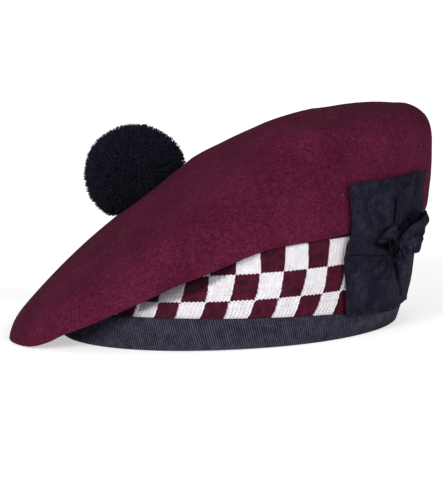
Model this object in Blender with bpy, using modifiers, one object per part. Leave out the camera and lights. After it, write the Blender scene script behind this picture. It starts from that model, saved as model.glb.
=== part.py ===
"""Balmoral bonnet: a felted crown pulled down to the wearer's right, a diced band, a ribbon binding,
a ribbon cockade on the wearer's left and a toorie. Metres, +Z up, front towards -Y.

The bonnet is drawn round the upright axis of the head opening. Directions round that axis are measured
anticlockwise from +X, the wearer's left. The wool stands up there, behind the cockade, and hangs over the
band at the wearer's right.
"""

import math
import random

import bmesh
import bpy
from mathutils import Euler, Matrix, Vector
from mathutils.bvhtree import BVHTree

# Head opening, outside of the wool at the floor
HEAD_LENGTH = 0.200
HEAD_WIDTH = 0.168

# Felt and band
FELT = 0.0022
DICE_HEIGHT = 0.0132
DICE_ROWS = 3
DICE_HIDDEN = 0.0026  # how much of the lowest row the ribbon covers
LEAN = 0.028  # how far the band leans from the floor to its seam, where it leans most
LEAN_CURVE = 1.3
TUCK = 0.0042  # how far the band's lower edge rolls in, where it rolls in most
TUCK_CURVE = 5
SEAM_LAP = 0.0012  # how far the crown's lower edge reaches down outside the band
SEAM_GAP = 0.0014  # on the crown's cage, which subdivision draws in by about 1 mm
TOUCH_GAP = 0.0003

# Ribbon binding
RIBBON = 0.0007
RIBBON_HEIGHT = 0.0170
RIBBON_GAP = 0.0007  # measured level, less across a wall that leans
HEM_LIFT = 0.0006  # between the wool's lower edge and the fold of the ribbon

# Crown
CROWN_OVERHANG = 0.027  # beyond the head opening, on average
CROWN_RISE = 0.0650  # above the band
CROWN_COLUMNS = 24
FOLD_CLEAR = 0.0006  # between the fold and the surface that the bonnet rests on

# Toorie, a ball of wool cut flat where it is sewn on
TOORIE_RADIUS = 0.0268
TOORIE_STRETCH = 1.02  # of the ball along its axis
TOORIE_RISE = 0.0112  # of its middle above the wool that it sits on
TOORIE_LEAN = math.radians(-38)  # of its axis, from upright towards the wearer's right
TOORIE_TURN = math.radians(15)
LOCK_LENGTH = 0.0035
LOCK_LENGTHS = (0.55, 1.1)  # the shortest and longest lock, as shares of LOCK_LENGTH
LOCK_TAPER = 0.55
SKIRT = 0.45  # how full the ball stays below its middle, from 0, round, to 1, upright

# Cockade, in a frame at its middle: x out from the bonnet, y across, z up
COCKADE_DIRECTION = math.radians(-16)
PANEL_FOOT = 0.0110  # from the floor to the panel's lower edge
PANEL_WIDTH = 0.078
PANEL_HEIGHT = 0.069
PANEL_RIBBON = 0.0015
PANEL_CLEAR = 0.0021  # from the bonnet to the panel's front, where the panel lies flat
PANEL_PUFF = 0.0018
PANEL_PLEAT = 0.0008
PANEL_PLEATS = 10
PANEL_BULGE = 0.0030  # how much wider the panel is at its pinch
PANEL_SKEW = -0.0045  # how far its top edge stands off to the left of its middle
PANEL_CELLS = 20
CLOTH_SPAN = 0.0020
KNOT_ASIDE = -0.0035
KNOT_UP = -0.0045
BOW_REACH = 0.0200  # of a loop, on average
BOW_UNEVEN = 0.0040  # how far towards the rear both loops' ends are moved
BOW_WAIST = 0.0030  # half the ribbon's width where the knot draws it in
BOW_END = 0.0078  # half its width at the end of a loop, on average
BOW_END_UNEVEN = 0.0018  # how much wider than that the rear loop is, and how much narrower the front one
BOW_RISE = 0.42  # slope of the loops, up from the knot
BOW_PUFF = 0.0055
BOW_RIBBON = 0.0008
BOW_CLEAR = 0.0009
KNOT_WIDTH = 0.0084
KNOT_HEIGHT = 0.0150
KNOT_DEPTH = 0.0056
KNOT_RIBBON = 0.0010

BAND_HEIGHT = RIBBON_HEIGHT - DICE_HIDDEN + DICE_ROWS * DICE_HEIGHT
CROWN_HEIGHT = BAND_HEIGHT + CROWN_RISE
COCKADE_UP = PANEL_FOOT + PANEL_HEIGHT / 2

COLOURS = {
    "maroon_felt": ((0.078, 0.010, 0.026, 1), 0.95),
    "diced_wool": ((0.60, 0.55, 0.57, 1), 0.95),
    "black_ribbon": ((0.020, 0.019, 0.028, 1), 0.60),
    "cockade_ribbon": ((0.012, 0.011, 0.018, 1), 0.55),
    "bow_ribbon": ((0.012, 0.011, 0.018, 1), 0.55),
    "knot_ribbon": ((0.010, 0.009, 0.015, 1), 0.55),
    "toorie_wool": ((0.006, 0.006, 0.010, 1), 1.00),
}

# The bonnet at eight directions round the head axis. Lean is a share of LEAN, outward, and tuck of TUCK;
# seam_up is a share of BAND_HEIGHT and ribbon_up of RIBBON_HEIGHT. The other columns that end in _out are
# distances from the axis as shares of the crown's reach there, and in _up heights as shares of CROWN_HEIGHT:
# under is the lowest turn of the wool, rim its outermost point, shoulder where the side turns into the top,
# and top lies half way from the shoulder to the toorie.
SECTION_FIELDS = (
    "angle lean tuck seam_up ribbon_up under_out under_up rim_out rim_up shoulder_out shoulder_up "
    "top_out top_up"
).split()
SECTIONS = (
    (0, 0.28, 1.0, 1.04, 0.50, 0.924, 0.530, 0.972, 0.715, 0.915, 0.945, 0.442, 0.900),
    (45, 0.26, 0.8, 1.00, 0.80, 0.917, 0.520, 0.926, 0.700, 0.851, 0.905, 0.424, 0.855),
    (90, 0.07, 0.3, 1.00, 1.00, 0.872, 0.430, 0.890, 0.530, 0.811, 0.710, 0.398, 0.660),
    (135, -0.50, 0.0, 0.95, 1.00, 0.856, 0.195, 0.937, 0.275, 0.845, 0.385, 0.428, 0.485),
    (180, -1.00, 0.0, 0.83, 1.00, 0.874, 0.043, 0.944, 0.085, 0.864, 0.185, 0.442, 0.402),
    (225, -1.00, 0.0, 0.83, 1.00, 1.001, -0.012, 1.060, 0.042, 0.980, 0.157, 0.501, 0.400),
    (270, -0.05, 0.3, 0.97, 1.00, 0.882, 0.262, 0.906, 0.340, 0.827, 0.535, 0.406, 0.628),
    (315, 0.26, 0.8, 1.02, 0.82, 0.913, 0.565, 0.904, 0.725, 0.802, 0.925, 0.394, 0.850),
)

# Where the crown gathers under the toorie: to the wearer's left and back, as shares of the crown's reach
# there, and up, as a share of CROWN_HEIGHT
TOORIE_SEAT_SHARES = (-0.374, 0.035, 0.580)

# Places along a profile, in profile points, at which the crown's cage has a ring
CROWN_RINGS = (0, 0.5, 1, 1.35, 1.7, 2, 2.5, 3, 3.5, 4, 4.6)

# Shares of the ribbon's height at which the ribbon and the band under it have a ring
RIBBON_SHARES = (0.2, 0.5, 1)


def column(name):
    """One column of SECTIONS, in order round the axis."""
    place = SECTION_FIELDS.index(name)
    return [row[place] for row in SECTIONS]


def catmull_rom(before, start, end, after, share):
    """The value at a share of the way from start to end, on a curve through all four."""
    linear = end - before
    square = 2 * before - 5 * start + 4 * end - after
    cube = 3 * (start - end) + after - before
    return start + 0.5 * share * (linear + share * (square + share * cube))


def round_axis(name, angle):
    """A column's value in any direction, smooth all the way round."""
    values = column(name)
    place = (angle / (2 * math.pi) * len(values)) % len(values)
    row = int(place)
    near = [values[(row + step) % len(values)] for step in (-1, 0, 1, 2)]
    return catmull_rom(*near, place - row)


def along_points(points, place):
    """The point at a place, counted in points, on a smooth curve through a list of points."""
    row = min(int(place), len(points) - 2)
    near = [points[min(max(row + step, 0), len(points) - 1)] for step in (-1, 0, 1, 2)]
    return catmull_rom(*near, place - row)


def head_radius(angle):
    """Distance from the head axis to the outside of the wool at the floor."""
    return 1 / math.hypot(math.cos(angle) * 2 / HEAD_WIDTH, math.sin(angle) * 2 / HEAD_LENGTH)


def from_axis(angle, out, up):
    """A point at a distance from the head axis and a height."""
    return Vector((out * math.cos(angle), out * math.sin(angle), up))


def band_point(angle, up, outward=0.0):
    """A point of the band's outside, or a little outward of it, at a height up the band."""
    share = up / BAND_HEIGHT
    lean = LEAN * round_axis("lean", angle) * share**LEAN_CURVE
    tuck = TUCK * round_axis("tuck", angle) * (1 - (1 - share) ** TUCK_CURVE)
    sunk = 1 + share * (round_axis("seam_up", angle) - 1)
    return from_axis(angle, head_radius(angle) + lean + tuck + outward, up * sunk)


def crown_reach(angle):
    """Distance from the head axis that the crown's shares are counted in."""
    return head_radius(angle) + CROWN_OVERHANG


def toorie_seat():
    aside, back, up = TOORIE_SEAT_SHARES
    return Vector((aside * crown_reach(math.pi), back * crown_reach(math.pi / 2), up * CROWN_HEIGHT))


def crown_profile(angle):
    """The six points that one section of the crown passes through, from the seam to the toorie."""
    seat = toorie_seat()
    half_way = Vector((seat.x, seat.y, 0)) / 2

    def turn(name, centre=Vector()):
        out = crown_reach(angle) * round_axis(name + "_out", angle)
        return centre + from_axis(angle, out, CROWN_HEIGHT * round_axis(name + "_up", angle))

    seam = band_point(angle, BAND_HEIGHT - SEAM_LAP, FELT + SEAM_GAP)
    return [seam, turn("under"), turn("rim"), turn("shoulder"), turn("top", half_way), seat]


def lofted(name, rings, closed_top=None):
    """A mesh object through rings of points, each ring closed on itself."""
    mesh = bmesh.new()
    rows = [[mesh.verts.new(point) for point in ring] for ring in rings]
    for lower, upper in zip(rows, rows[1:]):
        for here, there in zip(range(len(lower)), [*range(1, len(lower)), 0]):
            mesh.faces.new((lower[here], lower[there], upper[there], upper[here]))
    if closed_top is not None:
        pole = mesh.verts.new(closed_top)
        last = rows[-1]
        for here, there in zip(range(len(last)), [*range(1, len(last)), 0]):
            mesh.faces.new((last[here], last[there], pole))
    data = bpy.data.meshes.new(name)
    mesh.to_mesh(data)
    mesh.free()
    data.shade_smooth()
    return bpy.data.objects.new(name, data)


def angles(count):
    return [2 * math.pi * step / count for step in range(count)]


def add_subdivision(obj, levels=1):
    modifier = obj.modifiers.new("smooth", "SUBSURF")
    modifier.levels = modifier.render_levels = levels


def add_wall(obj, thickness, offset=-1.0):
    modifier = obj.modifiers.new("wall", "SOLIDIFY")
    modifier.thickness = thickness
    modifier.offset = offset


def make_crown():
    profiles = [crown_profile(angle) for angle in angles(CROWN_COLUMNS)]

    def wool(points, place):
        point = along_points(points, place)
        return Vector((point.x, point.y, max(point.z, FOLD_CLEAR)))

    rings = [[wool(points, place) for points in profiles] for place in CROWN_RINGS]
    crown = lofted("crown", rings, toorie_seat())
    add_subdivision(crown)
    add_wall(crown, FELT)
    return crown


def band_ring(height, outward=0.0):
    """A ring of points round the band, at a height given for each direction."""
    return [band_point(angle, height(angle), outward) for angle in angles(2 * CROWN_COLUMNS)]


def ribbon_height(share):
    """A share of the height of the ribbon, which differs from one direction to another."""
    return lambda angle: share * RIBBON_HEIGHT * round_axis("ribbon_up", angle)


def level(height):
    return lambda angle: height


def make_diced_band():
    first_row = RIBBON_HEIGHT - DICE_HIDDEN
    heights = [level(HEM_LIFT + RIBBON), *(ribbon_height(share) for share in RIBBON_SHARES)]
    heights += [level(first_row + DICE_HEIGHT * row) for row in range(1, DICE_ROWS + 1)]
    band = lofted("diced_band", [band_ring(height) for height in heights])
    add_wall(band, FELT)
    return band


def make_headband_ribbon():
    outer = RIBBON_GAP + RIBBON
    inner = -FELT - RIBBON_GAP - RIBBON
    inside = [band_ring(ribbon_height(share), inner) for share in reversed(RIBBON_SHARES)]
    folds = ((inner, RIBBON), (inner + RIBBON, 0), (outer - RIBBON, 0), (outer, RIBBON))
    hem = [band_ring(level(up), out) for out, up in folds]
    outside = [band_ring(ribbon_height(share), outer) for share in RIBBON_SHARES]
    ribbon = lofted("headband_ribbon", inside + hem + outside)
    add_wall(ribbon, RIBBON)
    return ribbon


def finder(pieces):
    """A function that gives where a line from a point first meets any of some pieces."""
    graph = bpy.context.evaluated_depsgraph_get()
    places = [piece.evaluated_get(graph).matrix_world.copy() for piece in pieces]
    trees = [BVHTree.FromObject(piece, graph) for piece in pieces]

    def find(point, direction):
        best, reach = None, math.inf
        for place, tree in zip(places, trees):
            back = place.inverted()
            met, _, _, far = tree.ray_cast(back @ point, back.to_3x3() @ direction)
            if met is not None and far < reach:
                best, reach = place @ met, far
        return best

    return find


def make_toorie(crown):
    """A ball whose faces are drawn out into locks, flattened on the crown."""
    axis = Euler((0, TOORIE_LEAN, TOORIE_TURN)).to_matrix()
    centre = toorie_seat() + axis @ Vector((0, 0, TOORIE_RISE))
    placed = Matrix.Translation(centre) @ axis.to_4x4()
    find = finder([crown])
    down = axis @ Vector((0, 0, -1))

    def above_wool(vert):
        met = find(placed @ Vector((vert.co.x, vert.co.y, 2 * TOORIE_RADIUS)), down)
        return vert.co.z - (placed.inverted() @ met).z - TOUCH_GAP

    mesh = bmesh.new()
    stretch = Matrix.Diagonal((1, 1, TOORIE_STRETCH, 1))
    bmesh.ops.create_icosphere(mesh, subdivisions=3, radius=TOORIE_RADIUS - LOCK_LENGTH, matrix=stretch)
    for vert in mesh.verts:
        round_share = math.hypot(vert.co.x, vert.co.y) / (TOORIE_RADIUS - LOCK_LENGTH)
        if vert.co.z < 0 < round_share:
            widen = round_share ** (-SKIRT)
            vert.co.x *= widen
            vert.co.y *= widen
        vert.co.z -= min(0, above_wool(vert))
    clear = {vert: above_wool(vert) > LOCK_LENGTH / 2 for vert in mesh.verts}
    free = [face for face in mesh.faces if all(clear[vert] for vert in face.verts)]
    lengths = random.Random(7)
    for face in bmesh.ops.extrude_discrete_faces(mesh, faces=free)["faces"]:
        middle = face.calc_center_median()
        out = middle.normalized() * LOCK_LENGTH * lengths.uniform(*LOCK_LENGTHS)
        for vert in face.verts:
            vert.co = middle + (vert.co - middle) * LOCK_TAPER + out
    return placed_object("toorie", mesh, placed)


def placed_object(name, mesh, placed):
    """An object that holds a bmesh, put where it belongs by its location and rotation."""
    data = bpy.data.meshes.new(name)
    mesh.to_mesh(data)
    mesh.free()
    data.shade_smooth()
    obj = bpy.data.objects.new(name, data)
    obj.location = placed.translation
    obj.rotation_euler = placed.to_euler()
    return obj


def cockade_frame():
    out = from_axis(COCKADE_DIRECTION, 1, 0)
    return Matrix.Translation((0, 0, COCKADE_UP)) @ out.to_track_quat("X", "Z").to_matrix().to_4x4()


def depth_finder(pieces):
    """A function that gives how far out some pieces reach at a place of the cockade's frame."""
    frame = cockade_frame()
    find = finder(pieces)
    inward = from_axis(COCKADE_DIRECTION, -1, 0)

    def depth(across, up):
        met = find(frame @ Vector((2 * crown_reach(0), across, up)), inward)
        return (frame.inverted() @ met).x

    return depth


def bridged(depth, across, up):
    """How far out a cloth lies that spans the small hollows round a place."""
    steps = (-CLOTH_SPAN, 0, CLOTH_SPAN)
    return max(depth(across + aside, up + along) for aside in steps for along in steps)


def make_cockade_panel(crown, band, ribbon):
    """A wide ribbon folded upright and pinched at the knot, puffed above and below it."""
    depth = depth_finder([crown, band, ribbon])
    mesh = bmesh.new()
    bmesh.ops.create_grid(mesh, x_segments=PANEL_CELLS, y_segments=PANEL_CELLS, size=1)
    for vert in mesh.verts:
        aside, along = vert.co.x, vert.co.y
        pinch = 2 * KNOT_UP / PANEL_HEIGHT
        away = (along - pinch) / (1 - pinch if along > pinch else 1 + pinch)
        across = aside * (PANEL_WIDTH / 2 + PANEL_BULGE * (1 - abs(away)) ** 2) + PANEL_SKEW * along
        up = along * PANEL_HEIGHT / 2
        puff = PANEL_PUFF * (1 - aside**4) * math.sin(math.pi * abs(away) ** 0.75) ** 0.8
        spread = min(1, 1.5 * math.hypot(aside, away)) * (1 - max(abs(aside), abs(away)) ** 3)
        pleat = PANEL_PLEAT * spread * math.cos(PANEL_PLEATS * math.atan2(away, aside))
        vert.co = (bridged(depth, across, up) + PANEL_CLEAR + puff + pleat, across, up)
    panel = placed_object("cockade_panel", mesh, cockade_frame())
    add_wall(panel, PANEL_RIBBON)
    return panel


def make_cockade_bow(panel):
    """A ribbon ring drawn together at its waist, so that it stands out as two loops."""
    depth = depth_finder([panel])
    rings = []
    for edge in (-1, -0.5, 0, 0.5, 1):
        ring = []
        for turn in angles(32):
            share = abs(math.cos(turn))
            across = KNOT_ASIDE + BOW_REACH * math.cos(turn) + BOW_UNEVEN * share
            rise = BOW_RISE * BOW_REACH * share
            end = BOW_END + BOW_END_UNEVEN * math.cos(turn)
            up = KNOT_UP + rise + edge * (BOW_WAIST + (end - BOW_WAIST) * share**0.8)
            puff = 2 * BOW_RIBBON + BOW_PUFF * math.sin(math.pi * share**1.6)
            out = puff * (1 + math.sin(turn)) / 2
            ring.append(Vector((bridged(depth, across, up) + BOW_CLEAR + out, across, up)))
        rings.append(ring)
    bow = lofted("cockade_bow", rings)
    frame = cockade_frame()
    bow.location, bow.rotation_euler = frame.translation, frame.to_euler()
    add_wall(bow, BOW_RIBBON, offset=0)
    return bow


def make_cockade_knot(panel):
    """A strap of ribbon over the waist of the bow, from the panel above it to the panel below it."""
    depth = depth_finder([panel])
    foot = max(bridged(depth, KNOT_ASIDE, KNOT_UP + side * KNOT_HEIGHT / 2) for side in (-1, 1))
    mesh = bmesh.new()
    bmesh.ops.create_grid(mesh, x_segments=12, y_segments=6, size=1)
    for vert in mesh.verts:
        turn = vert.co.x * math.pi / 2
        across = KNOT_ASIDE + vert.co.y * KNOT_WIDTH / 2
        crest = KNOT_DEPTH * (1 - 0.12 * vert.co.y**2) * math.cos(turn) ** 0.6
        up = KNOT_UP + KNOT_HEIGHT / 2 * math.sin(turn)
        vert.co = (foot + KNOT_RIBBON + TOUCH_GAP + crest, across, up)
    knot = placed_object("cockade_knot", mesh, cockade_frame())
    add_wall(knot, KNOT_RIBBON)
    return knot


def clear_scene():
    for obj in list(bpy.data.objects):
        bpy.data.objects.remove(obj)


def make_material(name):
    colour, roughness = COLOURS[name]
    material = bpy.data.materials.new(name)
    material.use_nodes = True
    shader = material.node_tree.nodes["Principled BSDF"]
    shader.inputs["Base Color"].default_value = colour
    shader.inputs["Roughness"].default_value = roughness
    shader.inputs["Metallic"].default_value = 0
    return material


def stand_on_origin(pieces):
    """Parent the pieces to an empty that puts the middle of the bonnet's underside at the origin."""
    graph = bpy.context.evaluated_depsgraph_get()
    shown = [piece.evaluated_get(graph) for piece in pieces]
    points = [piece.matrix_world @ vert.co for piece in shown for vert in piece.data.vertices]
    low, high = (Vector(pick(values) for values in zip(*points)) for pick in (min, max))
    origin = bpy.data.objects.new("bonnet_origin", None)
    origin.location = (-(low.x + high.x) / 2, -(low.y + high.y) / 2, -low.z)
    for piece in pieces:
        piece.parent = origin
    return origin


def main():
    clear_scene()
    collection = bpy.data.collections.new("balmoral_bonnet")
    bpy.context.scene.collection.children.link(collection)

    def add(piece, finish):
        piece.data.materials.append(make_material(finish))
        collection.objects.link(piece)
        return piece

    crown = add(make_crown(), "maroon_felt")
    band = add(make_diced_band(), "diced_wool")
    ribbon = add(make_headband_ribbon(), "black_ribbon")
    toorie = add(make_toorie(crown), "toorie_wool")
    panel = add(make_cockade_panel(crown, band, ribbon), "cockade_ribbon")
    bow = add(make_cockade_bow(panel), "bow_ribbon")
    knot = add(make_cockade_knot(panel), "knot_ribbon")
    collection.objects.link(stand_on_origin([crown, band, ribbon, toorie, panel, bow, knot]))


main()
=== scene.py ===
# %% [markdown]
# # A balmoral bonnet
# The bonnet is a soft cap of milled wool. Its crown is pulled down over one side, a knitted band of white
# and maroon dice shows under it, a black ribbon binds the edge, and a ribbon cockade and a pompom, the
# toorie, are sewn on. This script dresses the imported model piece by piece, in metres.
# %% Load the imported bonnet
import math

import bmesh
import bpy
import numpy as np
from mathutils import Matrix, Vector
from mathutils.bvhtree import BVHTree


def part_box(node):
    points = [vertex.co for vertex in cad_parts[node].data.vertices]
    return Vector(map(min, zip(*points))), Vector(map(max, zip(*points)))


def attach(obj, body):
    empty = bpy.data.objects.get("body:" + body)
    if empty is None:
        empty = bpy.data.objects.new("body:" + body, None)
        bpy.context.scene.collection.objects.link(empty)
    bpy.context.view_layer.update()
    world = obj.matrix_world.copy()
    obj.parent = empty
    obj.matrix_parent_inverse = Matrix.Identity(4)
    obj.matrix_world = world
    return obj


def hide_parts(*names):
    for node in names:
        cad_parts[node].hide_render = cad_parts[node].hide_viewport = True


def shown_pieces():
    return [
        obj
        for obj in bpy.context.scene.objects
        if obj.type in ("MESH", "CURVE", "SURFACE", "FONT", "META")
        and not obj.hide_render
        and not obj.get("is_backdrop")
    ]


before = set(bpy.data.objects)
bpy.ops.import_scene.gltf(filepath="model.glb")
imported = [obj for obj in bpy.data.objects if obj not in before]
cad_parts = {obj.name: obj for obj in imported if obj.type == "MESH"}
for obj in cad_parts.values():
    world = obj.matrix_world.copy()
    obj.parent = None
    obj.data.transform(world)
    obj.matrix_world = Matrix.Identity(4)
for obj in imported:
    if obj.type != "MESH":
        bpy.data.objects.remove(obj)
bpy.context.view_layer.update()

MM = 0.001
UP = Vector((0, 0, 1))

# %% [markdown]
# The head opening is an oval. Its middle is the axis that every direction round the bonnet is counted
# from. The lowest ring of the ribbon lies flat on the floor, so the middle of that ring gives the axis,
# and nothing has to be typed in.
# %% Find the head axis
ON_FLOOR = 2e-5  # a point lower than this lies on the floor
floor_ring = np.array([v.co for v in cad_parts["headband_ribbon"].data.vertices if v.co.z < ON_FLOOR])
HEAD_AXIS = Vector((*((floor_ring.min(0) + floor_ring.max(0)) / 2)[:2], 0))
print("head axis at", [round(x, 5) for x in HEAD_AXIS])

# %% [markdown]
# A photograph of a hat in a shop is taken from far away with a long lens, which keeps the oval of the
# brim flat. The camera stands 2.5 m off, 15 degrees round to the wearer's left and 6.5 degrees up, and it
# is turned a little, as the one that took the picture was. The shift places the hat in the frame.
# %% Camera
PICTURE_WIDTH, PICTURE_HEIGHT = 443, 503
PIXELS_PER_METRE = 1940
CAMERA_DISTANCE = 2.5
CAMERA_AZIMUTH, CAMERA_ELEVATION, CAMERA_ROLL = math.radians(15), math.radians(6.5), math.radians(-1.75)
AIM_HEIGHT = 0.055
AIM = HEAD_AXIS + Vector((0, 0, AIM_HEIGHT))
AIM_PIXEL = (225.8, 217.8)  # where the picture shows that place
SENSOR_WIDTH = 36  # mm
FARTHEST_SEEN = 100

TO_CAMERA = Vector((
    math.sin(CAMERA_AZIMUTH) * math.cos(CAMERA_ELEVATION),
    -math.cos(CAMERA_AZIMUTH) * math.cos(CAMERA_ELEVATION),
    math.sin(CAMERA_ELEVATION),
))
aimed = (-TO_CAMERA).to_track_quat("-Z", "Y").to_matrix().to_4x4()
rolled = Matrix.Rotation(CAMERA_ROLL, 4, "Z")
CAMERA_PLACE = Matrix.Translation(AIM + TO_CAMERA * CAMERA_DISTANCE) @ aimed @ rolled

lens = bpy.data.cameras.new("picture_camera")
lens.sensor_width = SENSOR_WIDTH
lens.lens = PIXELS_PER_METRE * CAMERA_DISTANCE * SENSOR_WIDTH / PICTURE_HEIGHT
lens.shift_x = (PICTURE_WIDTH / 2 - AIM_PIXEL[0]) / PICTURE_HEIGHT
lens.shift_y = (AIM_PIXEL[1] - PICTURE_HEIGHT / 2) / PICTURE_HEIGHT
lens.clip_end = FARTHEST_SEEN
camera = bpy.data.objects.new("picture_camera", lens)
camera.matrix_world = CAMERA_PLACE
bpy.context.scene.collection.objects.link(camera)
bpy.context.scene.camera = camera


def picture_places(points):
    """Where points of the bonnet fall in the picture, in pixels from its upper left corner."""
    local = (np.asarray(points) - np.array(CAMERA_PLACE.translation)) @ np.array(CAMERA_PLACE.to_3x3())
    scale = PIXELS_PER_METRE * CAMERA_DISTANCE / -local[..., 2]
    return AIM_PIXEL[0] + local[..., 0] * scale, AIM_PIXEL[1] - local[..., 1] * scale


print("lens", round(lens.lens, 1), "mm")

# %% [markdown]
# A pale floor that reaches to the horizon and soft light from the front make a plain studio. Two broad suns
# model the forms, because their light is the same over the whole floor, which a lamp nearby can't do: one
# stands low in front, so the sides are brighter than the top, and one to the right, for the cockade. The
# floor glows a little, as a light table does, so it stays white while the top of the hat stays deep.
# %% Floor and light
FLOOR_REACH = 30
FLOOR_LOOK = {
    "Base Color": (0.86, 0.86, 0.86, 1), "Emission Color": (1, 1, 1, 1), "Emission Strength": 0.5,
    "Roughness": 0.9, "Specular IOR Level": 0.1,
}
SKY_LOOK = {"Color": (1, 1, 1, 1), "Strength": 0.36}


def set_inputs(node, look):
    """Sets several inputs of a shader node by their names."""
    for name, value in look.items():
        node.inputs[name].default_value = value


floor_mesh = bpy.data.meshes.new("studio_floor")
floor_corners = [(x * FLOOR_REACH, y * FLOOR_REACH, 0) for x, y in ((-1, -1), (1, -1), (1, 1), (-1, 1))]
floor_mesh.from_pydata(floor_corners, [], [(0, 1, 2, 3)])
studio_floor = bpy.data.objects.new("studio_floor", floor_mesh)
bpy.context.scene.collection.objects.link(studio_floor)
studio_floor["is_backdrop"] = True

floor_finish = bpy.data.materials.new("studio_floor")
floor_finish.use_nodes = True
set_inputs(floor_finish.node_tree.nodes["Principled BSDF"], FLOOR_LOOK)
floor_mesh.materials.append(floor_finish)

studio = bpy.data.worlds.new("studio")
studio.use_nodes = True
set_inputs(studio.node_tree.nodes["Background"], SKY_LOOK)
bpy.context.scene.world = studio


def add_sun(name, direction, strength, spread):
    """A sun whose light comes from a direction, softened over an angle in degrees."""
    sun = bpy.data.lights.new(name, "SUN")
    sun.energy = strength
    sun.angle = math.radians(spread)
    placed = bpy.data.objects.new(name, sun)
    placed.rotation_mode = "QUATERNION"
    placed.rotation_quaternion = Vector(direction).to_track_quat("Z", "Y")
    bpy.context.scene.collection.objects.link(placed)


add_sun("key_light", direction=(-0.18, -0.94, 0.28), strength=2.2, spread=24)
add_sun("side_light", direction=(0.62, -0.66, 0.42), strength=1.3, spread=14)
bpy.context.scene.view_settings.view_transform = "Standard"
bpy.context.scene.view_settings.look = "None"
print("studio with a key light and a side light")

# %% [markdown]
# Most pieces here are cloth that follows a surface. A grid of points, row by row, is the plainest way to
# make such a cloth: it has even quads, its own UV map in metres and a clear outside.
# %% Helpers for meshes
def add_piece(name, mesh, node):
    """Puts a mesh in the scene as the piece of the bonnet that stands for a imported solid."""
    piece = bpy.data.objects.new(name, mesh)
    bpy.context.scene.collection.objects.link(piece)
    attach(piece, "root")
    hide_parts(node)
    return piece


def grid_mesh(name, points, ring=False, flip=False):
    """A mesh of quads through rows of points, with a UV map in metres. A ring closes each row on itself."""
    points = np.asarray(points, float)
    rows, columns = points.shape[:2]
    i, j = np.meshgrid(np.arange(rows - 1), np.arange(columns if ring else columns - 1), indexing="ij")
    corners = [(i, j), (i, j + 1), (i + 1, j + 1), (i + 1, j)]
    if flip:
        corners.reverse()
    faces = np.stack([a * columns + b % columns for a, b in corners], -1).reshape(-1, 4)
    mesh = bpy.data.meshes.new(name)
    mesh.from_pydata(points.reshape(-1, 3).tolist(), [], faces.tolist())
    across = np.linalg.norm(np.diff(points[rows // 2], axis=0), axis=1).mean()
    along = np.linalg.norm(np.diff(points[:, columns // 2], axis=0), axis=1).mean()
    uv = np.stack([np.stack([b * across, a * along], -1) for a, b in corners], 2).reshape(-1, 2)
    layer = mesh.uv_layers.new(name="UVMap")
    layer.data.foreach_set("uv", uv.astype(np.float32).ravel())
    mesh.polygons.foreach_set("use_smooth", np.ones(len(mesh.polygons), bool))
    mesh.update()
    return mesh


def finished(piece):
    """The piece's mesh with its modifiers applied, and the piece left without them."""
    graph = bpy.context.evaluated_depsgraph_get()
    mesh = bpy.data.meshes.new_from_object(piece.evaluated_get(graph), depsgraph=graph)
    piece.modifiers.clear()
    piece.data = mesh
    mesh.polygons.foreach_set("use_smooth", np.ones(len(mesh.polygons), bool))
    return piece


def thicken(piece, thickness, offset=-1.0):
    """Gives a cloth its thickness."""
    wall = piece.modifiers.new("wall", "SOLIDIFY")
    wall.thickness = thickness
    wall.offset = offset
    wall.use_even_offset = False
    return finished(piece)


def numbers_of(vertices, name):
    """Three numbers of every vertex, its place ("co") or its normal."""
    values = np.empty(len(vertices) * 3)
    vertices.foreach_get(name, values)
    return values.reshape(-1, 3)


def triangles(piece):
    """How many triangles a piece has."""
    return sum(len(p.vertices) - 2 for p in piece.data.polygons)


def surface(node):
    """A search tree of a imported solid, for rays."""
    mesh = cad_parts[node].data
    points = [v.co.copy() for v in mesh.vertices]
    return BVHTree.FromPolygons(points, [list(p.vertices) for p in mesh.polygons])


def smoothstep(low, high, value):
    """Rises from 0 at a low value to 1 at a high one, with soft ends."""
    share = np.clip((value - low) / (high - low), 0, 1)
    return share * share * (3 - 2 * share)


print("helpers ready")

# %% [markdown]
# Every finish here is made of fibres. A shader for fibres needs a colour that varies a little at several
# scales, a grain that the light catches, and a sheen at grazing angles, where short hairs light up. One
# small helper adds nodes, and each finish below is a short recipe.
# %% Helpers for finishes
def add_node(tree, kind, inputs, settings):
    """Adds a node to a tree. Each of its inputs gets a value, or a link where a socket is given."""
    node = tree.nodes.new(kind)
    for name, value in settings.items():
        setattr(node, name, value)
    for name, value in inputs.items():
        if isinstance(value, bpy.types.NodeSocket):
            tree.links.new(value, node.inputs[name])
        else:
            node.inputs[name].default_value = value
    return node


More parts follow.
